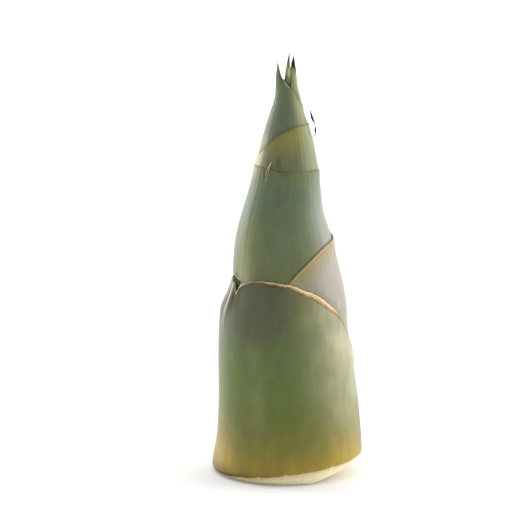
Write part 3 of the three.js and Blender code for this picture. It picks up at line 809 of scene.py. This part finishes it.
BUD_FOOT = 173
bud_girth = through([(BUD_FOOT, 2.5), (179, 6.5), (187, 6.2), (201, 4.4), (216, 2.7), (226, 1.9), (231, 1.4),
                     (234, 0.9), (237, 0.55), (SHOOT_HEIGHT, 0.15)])
bud_lean = through([(BUD_FOOT, 0), (200, 0), (226, 0.3), (232, 0.4), (SHOOT_HEIGHT, 1.2)])
bud_angle = np.arange(0, 360, 6)[:, None]
bud_height = np.concatenate([np.linspace(BUD_FOOT, 226, 60), np.linspace(226.5, SHOOT_HEIGHT, 40)])[None, :]
rolled = 1 + 0.05 * np.cos(np.radians(3 * bud_angle))  # the three leaves that roll round each other
bud_room = room_at(bud_angle, bud_height) - 1.2 * smooth(bud_height, 200, 220)
turned(
    "bud", "central_bud", "bud",
    leaf_skin("Yellow-green rolled bud",
              # The band about 221 to 226 is darker, as painted shade in the notch between the spikes; above
              # it the bud is bright yellow-green.
              body=[(173, "#c9c88c"), (200, "#a9ad6c"), (221, "#5f6748"), (225.5, "#6f7852"),
                    (228, "#aab176"), (231.5, "#a2a86f"), (233, "#6f6f50"), (235.5, "#55544a"),
                    (240, "#45443e")]),
    bud_angle, np.minimum(bud_girth(bud_height) * rolled, bud_room), bud_height, middle=bud_lean(bud_height),
    marks={"tone": lambda angle, radius, height: height / SHOOT_HEIGHT},
)

# ==== Core ====
# The solid heart of the shoot: crisp, juicy, cream-coloured flesh. It is cut flat across at the base and
# pared again on one side, and shows as a pale strip under sheath 1. Each sheath grows from a ring on it.

CORE_TOP = 168
FOOT_RADIUS = 39.8
FACE_RADIUS = 38.6  # how far out the rings of the cut face go
ROUND_FROM, ROUND_OUT, ROUND_UP = 38.8, 1.2, 1.0  # the cut's rounded edge: where it begins, how wide and high
PARED_FROM, PARED_SLOPE = 14, 0.3  # past this x the second cut slants up
PARED_FADE = 24  # height over which that slant fades out of the side
core_girth = through([(0, FOOT_RADIUS), (1.2, 40.6), (4, 41), (120, 34), (140, 20), (157, 12.6), (165, 7.5),
                      (CORE_TOP, 3.4)])
core_angle = np.arange(0, 360, 2)[:, None]


def pared(radius):
    """How far the second cut lifts the base at a radius: in proportion to the distance past its line."""
    return PARED_SLOPE * np.maximum(0, radius * np.cos(np.radians(core_angle)) - PARED_FROM)


def flesh():
    """Fresh shoot flesh: moist and slightly translucent, cream, with the dots of cut fibres on its cut face
    and fine upright fibres on its side, which browns towards the sheath."""
    material = bpy.data.materials.new("Fresh cream flesh")
    material.use_nodes = True
    tree = material.node_tree
    shader = tree.nodes["Principled BSDF"]
    place = add(tree, "TexCoord").outputs["Object"]
    growth = add(tree, "UVMap", uv_map="growth").outputs[0]
    out, cut, browned = (
        add(tree, "Attribute", attribute_name=mark).outputs["Fac"] for mark in ("out", "cut", "browned"))
    zones = add(tree, "ValToRGB", {0: out},
                stops=[(0.0, "#f4ecce", 1), (0.55, "#f2e8c4", 1), (0.86, "#e9dca6", 1), (0.93, "#dfd596", 1),
                       (1.0, "#efe4bb", 1)])
    # The fibres stand about 1.5 apart.
    dots = add(tree, "TexVoronoi", {"Vector": place, "Scale": 1 / (1.5 * MM), "Randomness": 0.8})
    dot = add(tree, "MapRange", {0: dots, 1: 0.16, 2: 0.3, 3: 0.35, 4: 0.0})
    dot = add(tree, "Math", {0: dot, 1: cut}, operation="MULTIPLY")
    face = add(tree, "Mix", {0: dot, 6: zones, 7: "#bda766"}, data_type="RGBA")
    fibre = pattern(tree, growth, 0.9, 14)
    side = add(tree, "ValToRGB", {0: fibre}, stops=[(0.3, "#f3e4b6", 1), (0.7, "#faf0d2", 1)])
    side = add(tree, "Mix", {0: browned, 6: side, 7: "#d2b374"}, data_type="RGBA")
    skin = add(tree, "Mix", {0: cut, 6: side, 7: face}, data_type="RGBA")
    tree.links.new(skin.outputs[2], shader.inputs["Base Color"])
    moist = add(tree, "MapRange", {0: fibre, 3: 0.28, 4: 0.5})
    tree.links.new(moist.outputs[0], shader.inputs["Roughness"])
    grain = add(tree, "Math", {0: dot, 1: -1.0, 2: fibre}, operation="MULTIPLY_ADD")
    raised = add(tree, "Bump", {"Strength": 0.3, "Distance": 0.15 * MM, "Height": grain})
    tree.links.new(raised.outputs[0], shader.inputs["Normal"])
    shader.inputs["IOR"].default_value = 1.4
    shader.inputs["Subsurface Weight"].default_value = 0.25
    shader.inputs["Subsurface Radius"].default_value = (1.0, 0.7, 0.35)
    shader.inputs["Subsurface Scale"].default_value = 3 * MM
    return material


# Its section, from the middle of the cut face out, round its edge, up the side and in over the top.
face_radius = np.linspace(0.5, FACE_RADIUS, 48)[None, :]
edge_turn = np.linspace(0, np.pi / 2, 6)[None, :]
side_height = np.concatenate([np.linspace(1.2, 14, 26), np.linspace(15, CORE_TOP, 154)])[None, :]
rim_lift = pared(FOOT_RADIUS)
lifted = side_height + rim_lift * (1 - smooth(side_height, 0, PARED_FADE))
side_radius = np.minimum(core_girth(side_height), room_at(core_angle, lifted))
core_radius = np.concatenate(
    [face_radius + 0 * core_angle, ROUND_FROM + ROUND_OUT * np.sin(edge_turn) + 0 * core_angle, side_radius,
     side_radius[:, -1:] * np.linspace(0.8, 0.2, 4)], axis=1)
core_height = np.concatenate(
    [pared(face_radius), rim_lift + ROUND_UP - ROUND_UP * np.cos(edge_turn), lifted,
     CORE_TOP + 0 * core_angle + np.linspace(0.1, 0.4, 4)], axis=1)
cut_rings = face_radius.size + 2  # the cut face, and the first rings of its rounded edge
turned(
    "core", "shoot_core", "core_flesh", flesh(), core_angle, core_radius, core_height, middle=0,
    marks={
        "out": lambda angle, radius, height: radius / 40,
        "cut": lambda angle, radius, height: (np.arange(radius.shape[1]) < cut_rings)[None, :] * 1.0,
        "browned": lambda angle, radius, height: 0.8 * smooth(height - torn_foot(angle), -3.5, 0.6),
    },
)

# ==== Studio ====
# A sheet of white paper under a bright, even tent: light from both sides and behind, and less from the front.
# The camera looks a little down on the shoot. Lengths here are metres.

PAPER_HALF = 1.5
paper_corners = [(x * PAPER_HALF, y * PAPER_HALF, 0) for x, y in ((-1, -1), (1, -1), (1, 1), (-1, 1))]
floor_mesh = bpy.data.meshes.new("studio_floor")
floor_mesh.from_pydata(paper_corners, [], [(0, 1, 2, 3)])
floor = bpy.data.objects.new("studio_floor", floor_mesh)
bpy.context.scene.collection.objects.link(floor)
paper = bpy.data.materials.new("White paper")  # quite matt, so that only a soft shadow shows on it
paper.use_nodes = True
paper.node_tree.nodes["Principled BSDF"].inputs["Base Color"].default_value = colour("#f7f7f7")
paper.node_tree.nodes["Principled BSDF"].inputs["Roughness"].default_value = 1
floor_mesh.materials.append(paper)


def softbox(name, place, target, size, radiance):
    """A soft light panel that faces its target. Its power is radiance times pi times its area."""
    data = bpy.data.lights.new(name, "AREA")
    data.shape = "RECTANGLE"
    data.size, data.size_y = size
    data.energy = radiance * np.pi * size[0] * size[1]
    lamp = bpy.data.objects.new(name, data)
    lamp.location = place
    lamp.rotation_euler = (Vector(target) - Vector(place)).to_track_quat("-Z", "Y").to_euler()
    lamp.visible_camera = False
    bpy.context.scene.collection.objects.link(lamp)


softbox("right_softbox", (1.1, 0.2, 0.55), (0, 0, 0.12), (1.1, 1.2), 3.0)
softbox("left_softbox", (-1.1, 0.75, 0.5), (0, 0, 0.12), (0.8, 1.1), 3.5)
softbox("top_softbox", (0, 0.3, 1.5), (0, 0, 0.1), (1.0, 1.0), 1.5)

world = bpy.data.worlds.new("studio")
world.use_nodes = True
tent = world.node_tree
direction = add(tent, "SeparateXYZ", {0: add(tent, "TexCoord").outputs["Generated"]})
strength = add(tent, "MapRange", {0: direction.outputs[1], 1: -0.3, 2: 0.8, 3: 0.5, 4: 1.6},
               interpolation_type="SMOOTHSTEP")
tent.links.new(strength.outputs[0], tent.nodes["Background"].inputs[1])
tent.nodes["Background"].inputs[0].default_value = (1, 1, 1, 1)
bpy.context.scene.world = world

CAMERA_PITCH = np.radians(9)
CAMERA_DISTANCE = 1.3
AIM_X, AIM_Z = -0.01957, 0.12427  # the point in the shoot's middle plane that the camera looks at
camera_data = bpy.data.cameras.new("camera")
camera_data.lens = 160.2
camera_data.sensor_width = 36
camera = bpy.data.objects.new("camera", camera_data)
back, up = CAMERA_DISTANCE * np.cos(CAMERA_PITCH), CAMERA_DISTANCE * np.sin(CAMERA_PITCH)
camera.location = (AIM_X, -back, AIM_Z + up)
camera.rotation_euler = (np.pi / 2 - CAMERA_PITCH, 0, 0)
bpy.context.scene.collection.objects.link(camera)
bpy.context.scene.camera = camera
bpy.context.scene.view_settings.view_transform = "Standard"
